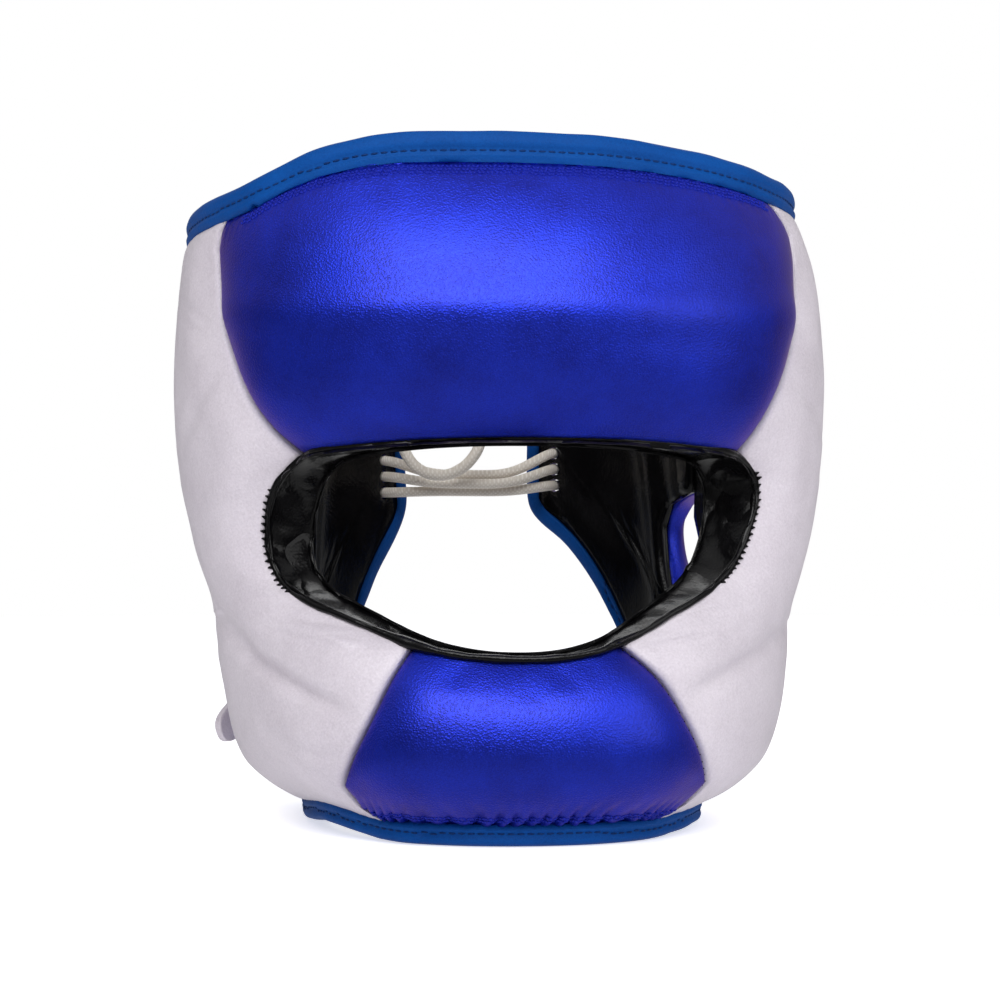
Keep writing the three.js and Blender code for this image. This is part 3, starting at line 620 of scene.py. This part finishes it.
def add_bites(shape, tree, places, aims, length, radius, lift):
    """Tapered overlock stitches that lie on a cover, from each place towards its aim."""
    for place, aim in zip(places, aims):
        foot = place + outwards(place) * lift
        tip = tree.find_nearest(place + aim * length)[0] + outwards(place) * lift / 2
        along = (tip - foot).to_track_quat("Z", "Y").to_matrix().to_4x4()
        bmesh.ops.create_cone(
            shape,
            cap_ends=True,
            segments=6,
            radius1=radius,
            radius2=radius * BITE_TAPER,
            depth=(tip - foot).length * 1.2,
            matrix=Matrix.Translation((foot + tip) / 2) @ along,
        )


def thread(name, colour):
    """Twisted polyester sewing thread, dull, with darker turns."""
    material = bpy.data.materials.new(name)
    material.use_nodes = True
    tree = material.node_tree
    shader = tree.nodes["Principled BSDF"]
    shader.inputs["Roughness"].default_value = 0.6
    shader.inputs["Specular IOR Level"].default_value = 0.15
    place = add_node(tree, "TexCoord").outputs["Object"]
    twist = add_node(tree, "TexNoise", {"Vector": place, "Scale": 1000 / 0.6, "Detail": 2.0})
    dark = [c * 0.55 for c in linear(colour)[:3]] + [1.0]
    tint = add_node(
        tree, "MixRGB", {"Fac": twist.outputs["Fac"], "Color1": dark, "Color2": linear(colour)}
    )
    tree.links.new(tint.outputs["Color"], shader.inputs["Base Color"])
    return material


def piece_from(name, shape, material, slot):
    """Finishes a bmesh as a piece of its own."""
    mesh = bpy.data.meshes.new(name)
    shape.to_mesh(mesh)
    shape.free()
    return add_piece(name, mesh, material, slot)


# The same leather, drawn into sharp folds: small broken glints instead of long ones.
crumpled_leather = leather(
    "crumpled_black_leather",
    ("#040405", "#0B0A0C"),
    grain_mm=1.1,
    grain_depth_mm=0.04,
    roughness=(0.2, 0.3),
    finish={"Specular IOR Level": 0.28},
    folds_mm=32,
    fold_depth_mm=9,
)
wall = smooth_copy("face_opening_wall", levels=3, rim_crease=0.7)
shift(wall, crumple)
add_piece("opening_wall_leather", wall, crumpled_leather, "black_leather", "face_opening_wall")

rim = [
    point
    for node in ("forehead_pad", "face_bar_pad", "cheek_pad_left", "cheek_pad_right")
    for point in outer_rim(node, "face_opening_wall")
]
rim.sort(key=lambda point: math.atan2(point.z - OPENING_CENTRE.z, point.x - OPENING_CENTRE.x))
rim = [point for point, before in zip(rim, rim[-1:] + rim) if (point - before).length > RIM_STEP]
bar_rim = outer_rim("face_bar_pad", "face_opening_wall")
bar_corners = [min(bar_rim, key=lambda point: point.x), max(bar_rim, key=lambda point: point.x)]
trim_route = bpy.data.curves.new("opening_trim", "CURVE")
trim_route.dimensions = "3D"
trim_route.bevel_depth = TRIM_HALF_WIDTH
trim_route.bevel_resolution = 3
trim_route.resolution_u = 10
trim_line = trim_route.splines.new("BEZIER")
trim_line.use_cyclic_u = True
trim_line.bezier_points.add(len(rim) - 1)
for knot, place in zip(trim_line.bezier_points, rim):
    into = Vector((OPENING_CENTRE.x - place.x, 0, OPENING_CENTRE.z - place.z)).normalized()
    is_brow = place.z > BROW_TRIM_Z
    knot.co = place + (Vector((0, BROW_TRIM_BACK, 0)) if is_brow else into * TRIM_INSET)
    knot.handle_left_type = knot.handle_right_type = "AUTO"
    to_knuckle = min((place - knuckle).length for knuckle in bar_corners)
    knot.radius = 1 + TRIM_KNUCKLE * math.exp(-((to_knuckle / KNUCKLE_REACH) ** 2))
carrier = bpy.data.objects.new("carrier", trim_route)
scene = bpy.context.scene
scene.collection.objects.link(carrier)
trim = bpy.data.meshes.new_from_object(carrier.evaluated_get(bpy.context.evaluated_depsgraph_get()))
bpy.data.objects.remove(carrier)
shift(trim, lambda place, normal: TRIM_LUMP * sum(noise.noise(place * per_m) for per_m in TRIM_LUMPS_PER_M))
add_piece("opening_trim", trim, black_leather, "black_leather")

bites = bmesh.new()
for side, cover in cheek_covers.items():
    edge = sorted(outer_rim("cheek_pad_" + side, "face_opening_wall"), key=lambda point: point.z)
    low, high = BITE_SPANS[side]
    places = [p for p in spaced(edge, BITE_SPACING) if low < p.z < high]
    aims = [Vector((p.x - OPENING_CENTRE.x, 0, p.z - OPENING_CENTRE.z)).normalized() for p in places]
    add_bites(bites, mesh_tree(cover), places, aims, BITE_LENGTH, BITE_RADIUS, BITE_LIFT)
seam = sorted(outer_rim("face_bar_pad", "cheek_pad_right"), key=lambda point: point.z)
places = [mesh_tree(bar).find_nearest(place)[0] for place in spaced(seam, BAR_BITE_SPACING)]
aims = [Vector((1, 0, 0.2))] * len(places)
add_bites(bites, mesh_tree(bar), places, aims, BAR_BITE_LENGTH, BAR_BITE_RADIUS, lift=0.1 * MM)
black_thread = thread("black_thread", "#151417")
piece_from("overlock_stitches", bites, black_thread, "black_leather")

# Bindings: a blue leather tape folded over the rims and sewn through with one row of blue thread, which
# draws a groove into it. One tape goes round the crown, the other up both rear edges and along the lower
# rim, where its end laps over its start. Chain stitches hold the gathered edges of the blue pads to them.
BINDING_WAVE = 0.35 * MM
BINDING_WAVES_PER_M = 70
RESTING_LAYER = 1 * MM
TAPE_LAP = 1.0 * MM
TAPE_SINK = 0.8 * MM
TAPE_TUCK = 2 * MM
TAPE_HALF_HEIGHT = 3.5 * MM
TAPE_SCAN_STEP = 0.5 * MM
OUTER_REACH = 0.2
INNER_REACH = 20 * MM
RAY_LENGTH = 0.18
LINE_PASSES = 12
REAR_LINE_LOW_Z = 124 * MM
GROOVE_DEPTH = 1.1 * MM
GROOVE_WIDTH = 1.3 * MM
LAP_TURN = math.radians(-20)
LAP_LENGTH = 26 * MM
LAP_STEP = 0.9 * MM
TAPE_LINES = [("top_binding", 158, 0.4), ("lower_binding", 154, 0.5)]
STITCH_LENGTH = 3.0 * MM
STITCH_SPACING = 3.4 * MM
STITCH_RADIUS = 0.42 * MM
CHAIN_SPACING = 1.5 * MM
CHAIN_LENGTH = 2.0 * MM
CHAIN_RADIUS = 0.5 * MM
CHAIN_SLANT = math.radians(38)

# Plain dyed leather with a dull finish: an even, strong blue with hardly any shine.
binding_leather = leather(
    "plain_blue_leather",
    ("#05397A", "#084C98"),
    grain_mm=1.0,
    grain_depth_mm=0.06,
    roughness=(0.5, 0.6),
    finish={"Specular IOR Level": 0.08},
)


def ray_from(turn):
    """The level direction that leaves the middle of the guard at a turn."""
    return Vector((math.sin(turn), -math.cos(turn), 0))


def tape_span(tree, heights, turn, inside):
    """The lowest and highest place on one face of a tape at a turn round the head."""
    out = ray_from(turn)
    facing = -out if inside else out
    hits = []
    for step in range(int(heights[0] / TAPE_SCAN_STEP), int(heights[1] / TAPE_SCAN_STEP) + 1):
        start = Vector((0, 0, step * TAPE_SCAN_STEP)) + out * (INNER_REACH if inside else OUTER_REACH)
        hit, normal, _, _ = tree.ray_cast(start, -facing, RAY_LENGTH)
        if hit is not None and normal.dot(facing) > 0.5:
            hits.append(hit)
    return (hits[0], hits[-1]) if hits else None


def rim_line(tree, heights, last_turn, share, inside):
    """A line along one face of a tape, at a share of its height, from one side round to the other."""
    turns = [math.radians(turn) for turn in range(-last_turn, last_turn + 1, 2)]
    spans = [tape_span(tree, heights, turn, inside) for turn in turns]
    line = [span[0].lerp(span[1], share) for span in spans if span is not None]
    for _ in range(LINE_PASSES):
        line = line[:1] + [(a + b + c) / 3 for a, b, c in zip(line, line[1:], line[2:])] + line[-1:]
    return [tree.find_nearest(place)[0] for place in line]


def rear_line(tree, side):
    """A line up the outside of the tape on one rear edge."""
    rim = sorted(outer_rim("rear_flap_" + side, "lower_binding"), key=lambda point: point.z)
    inwards = Vector((0.95 if side == "left" else -0.95, 0.3, 0)) * TAPE_HALF_HEIGHT
    return [tree.find_nearest(point + inwards)[0] for point in rim if point.z > REAR_LINE_LOW_Z]


def add_stitches(shape, tree, places, length, radius, slant=0):
    """Small rounded stitches on a surface along a line of places, slanted to one side and the other."""
    for i, place in enumerate(places):
        spot, normal, _, _ = tree.find_nearest(place)
        along = places[min(i + 1, len(places) - 1)] - places[max(i - 1, 0)]
        along.rotate(Quaternion(normal, slant if i % 2 else -slant))
        side = normal.cross(along).normalized()
        turned = Matrix((side.cross(normal), side, normal)).transposed().to_4x4()
        size = Matrix.Diagonal((length / 2, radius, radius, 1))
        bmesh.ops.create_icosphere(
            shape, subdivisions=1, radius=1, matrix=Matrix.Translation(spot) @ turned @ size
        )


def tape_wave(place):
    """The uneven roll of a folded tape. The face that it rests on stays flat."""
    return BINDING_WAVE * noise.noise(place * BINDING_WAVES_PER_M) if place.z > RESTING_LAYER else 0


def lap(place, normal):
    """The step where the lower tape's end lies on its start."""
    along = (LAP_TURN - math.atan2(place.x, -place.y)) * RIM_RADIUS
    if place.y > 0 or along < 0 or along > LAP_LENGTH or place.z < RESTING_LAYER:
        return 0
    return LAP_STEP * max(0, normal.dot(outwards(place))) * (1 - along / LAP_LENGTH)


pads = surface_tree(CHEEK_NODES + BLUE_NODES)
stitches = bmesh.new()
tape_trees = {}
for node, last_turn, share in TAPE_LINES:
    tape = smooth_copy(node, levels=3, rim_crease=0.9)
    shift(tape, lambda place, normal: tape_wave(place))
    for vertex in tape.vertices:
        nearest = pads.find_nearest(vertex.co, TAPE_LAP)[0]
        if nearest is not None:
            vertex.co = nearest + (nearest - vertex.co).normalized() * TAPE_SINK
    tree = mesh_tree(tape)
    heights = [corner[2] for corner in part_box(node)]
    lines = [rim_line(tree, heights, last_turn, share, inside) for inside in (False, True)]
    if node == "lower_binding":
        lines += [rear_line(tree, side) for side in ("left", "right")]
        shift(tape, lap)
        for vertex in tape.vertices:
            if vertex.co.z > heights[1] - TAPE_TUCK:
                vertex.co.z += TAPE_TUCK
    lines = [spaced(line, STITCH_SPACING) for line in lines]
    seam_places = [place for line in lines for place in spaced(line, STITCH_SPACING / 4)]
    groove = KDTree(len(seam_places))
    for i, place in enumerate(seam_places):
        groove.insert(place, i)
    groove.balance()
    shift(
        tape,
        lambda place, normal: -GROOVE_DEPTH * math.exp(-((groove.find(place)[2] / GROOVE_WIDTH) ** 2)),
    )
    tape_trees[node] = mesh_tree(tape)
    for line in lines:
        add_stitches(stitches, tape_trees[node], line, STITCH_LENGTH, STITCH_RADIUS)
    add_piece(node + "_tape", tape, binding_leather, "blue_binding_leather", node)
piece_from("binding_stitches", stitches, thread("tape_thread", "#0A3470"), "blue_binding_leather")

chain = bmesh.new()
for cover, tape, edge, last_turn, drops in (
    (forehead, "top_binding", 0, 55, (-2.0 * MM, -3.2 * MM, -4.4 * MM)),
    (bar, "lower_binding", 1, 35, (1.8 * MM, 2.8 * MM)),
):
    tree = mesh_tree(cover)
    heights = [corner[2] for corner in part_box(tape)]
    turns = [math.radians(turn) for turn in range(-last_turn, last_turn + 1)]
    levels = [tape_span(tape_trees[tape], heights, turn, False)[edge].z for turn in turns]
    for drop in drops:
        starts = [Vector((0, 0, z + drop)) + ray_from(turn) * OUTER_REACH for z, turn in zip(levels, turns)]
        line = [tree.ray_cast(start, -ray_from(turn), RAY_LENGTH)[0] for start, turn in zip(starts, turns)]
        line = spaced([place for place in line if place is not None], CHAIN_SPACING)
        add_stitches(chain, tree, line, CHAIN_LENGTH, CHAIN_RADIUS, CHAIN_SLANT)
piece_from("chain_stitches", chain, thread("royal_blue_thread", "#1626A8"), "metallic_blue_leather")

# Rear flaps: thinner pads of the metallic leather behind the ears, pierced near their rear edges for the
# lace.
for side in ("left", "right"):
    node = "rear_flap_" + side
    flap = stuffed_cover(node, finish=2)
    if side == "left":
        close_ear_seam(flap)
    sew(flap, CHEEK_NODES, SEAM_REACH, BLUE_SEAM_DEPTH)
    gather(flap, "top_binding", reach=10 * MM, depth=0.4 * MM, spacing=8 * MM)
    gather(flap, "lower_binding", reach=10 * MM, depth=0.5 * MM, spacing=9 * MM)
    cover = add_piece("rear_flap_cover_" + side, flap, metallic_blue, "metallic_blue_leather", node)

# Lacing: the rest of the same braided cord, drawn tight across the rear gap in a zigzag through the holes in
# the flaps and knotted at both ends.
for node in ("lace_lower", "lace_upper"):
    add_piece(node + "_cord", smooth_copy(node, levels=2, rim_crease=0), lace_material, "white_lace", node)

# Strap end: a short strip of the white leather, folded double with a rounded tip. It is sewn down behind the
# left cheek.
strap = smooth_copy("strap_tab", levels=3, rim_crease=0.6)
add_piece("strap_end", strap, white_leather, "white_leather", "strap_tab")

# Stage: a pale floor, soft boxes above the front, the right side and the back, and a camera level with
# the middle of the guard.
CAMERA_TURN = math.radians(-4.5)
CAMERA_DISTANCE = 1.15
CAMERA_HEIGHT = 0.117
FRAME_WIDTH_AT_GUARD = 0.370
FLOOR_RADIUS = 2.0
FLOOR_GLOW = 0.42
FLOOR_GLOW_SEEN = 0.7
ROOM_LEVELS = [(-1.0, 0.5), (-0.5, 0.42), (-0.28, 0.17), (0.05, 0.07), (0.75, 0.42)]
ROOM_BEHIND = 0.25

shape = bmesh.new()
bmesh.ops.create_circle(shape, cap_ends=True, radius=FLOOR_RADIUS, segments=96)
floor_mesh = bpy.data.meshes.new("floor")
shape.to_mesh(floor_mesh)
shape.free()
floor = bpy.data.objects.new("floor", floor_mesh)
scene.collection.objects.link(floor)
floor_material = bpy.data.materials.new("pale_floor")
floor_material.use_nodes = True
floor_shader = floor_material.node_tree.nodes["Principled BSDF"]
floor_shader.inputs["Base Color"].default_value = linear("#F2F2F4")
floor_shader.inputs["Roughness"].default_value = 0.9
floor_shader.inputs["Emission Color"].default_value = linear("#F2F2F4")
floor_ray = add_node(floor_material.node_tree, "LightPath")
floor_glow = add_node(
    floor_material.node_tree,
    "MapRange",
    {"Value": floor_ray.outputs["Is Camera Ray"], "To Min": FLOOR_GLOW, "To Max": FLOOR_GLOW_SEEN},
)
floor_material.node_tree.links.new(
    floor_glow.outputs["Result"], floor_shader.inputs["Emission Strength"]
)
floor_mesh.materials.append(floor_material)

# The room is light above, behind and straight below, and dim ahead. Only the camera sees it as plain
# white. The floor shows in no reflection, so the leather mirrors the room.
floor.visible_glossy = False
world = bpy.data.worlds.new("studio")
world.use_nodes = True
sky = world.node_tree
ray = add_node(sky, "LightPath")
direction = add_node(sky, "SeparateXYZ", {"Vector": add_node(sky, "TexCoord").outputs["Generated"]})
height = add_node(sky, "MapRange", {"Value": direction.outputs["Z"], "From Min": -1.0, "From Max": 1.0})
levels = add_node(sky, "ValToRGB", {"Fac": height.outputs["Result"]})
ramp = levels.color_ramp
for level, light in ROOM_LEVELS[1:-1]:
    ramp.elements.new((level + 1) / 2)
for stop, (level, light) in zip(ramp.elements, ROOM_LEVELS):
    stop.position = (level + 1) / 2
    stop.color = (light, light, light, 1)
behind = add_node(
    sky,
    "MapRange",
    {"Value": direction.outputs["Y"], "From Min": 0.1, "From Max": 0.9, "To Max": ROOM_BEHIND},
)
room = add_node(
    sky,
    "MixRGB",
    {"Fac": 1.0, "Color1": levels.outputs["Color"], "Color2": behind.outputs["Result"]},
    blend_type="ADD",
)
seen = add_node(
    sky,
    "MixRGB",
    {"Fac": ray.outputs["Is Camera Ray"], "Color1": room.outputs["Color"], "Color2": (1, 1, 1, 1)},
)
sky.links.new(seen.outputs["Color"], sky.nodes["Background"].inputs["Color"])
scene.world = world

for name, place, width, height, power in (
    ("key", (-0.2, -1.2, 1.1), 1.6, 0.9, 21),
    ("right_fill", (1.3, -1.0, 0.6), 1.2, 1.2, 6.5),
    ("back", (0.2, 1.3, 1.2), 1.0, 1.0, 4),
):
    lamp = bpy.data.lights.new(name, "AREA")
    lamp.shape = "RECTANGLE"
    lamp.size, lamp.size_y = width, height
    lamp.energy = power
    light = bpy.data.objects.new(name, lamp)
    light.location = place
    light.rotation_euler = (Vector((0, 0, 0.12)) - Vector(place)).to_track_quat("-Z", "Y").to_euler()
    scene.collection.objects.link(light)

camera_data = bpy.data.cameras.new("camera")
camera_data.lens = camera_data.sensor_width * CAMERA_DISTANCE / FRAME_WIDTH_AT_GUARD
camera = bpy.data.objects.new("camera", camera_data)
camera.location = (
    CAMERA_DISTANCE * math.sin(CAMERA_TURN),
    -CAMERA_DISTANCE * math.cos(CAMERA_TURN),
    CAMERA_HEIGHT,
)
camera.rotation_euler = (math.pi / 2, 0, CAMERA_TURN)
scene.collection.objects.link(camera)
scene.camera = camera
scene.view_settings.view_transform = "Standard"
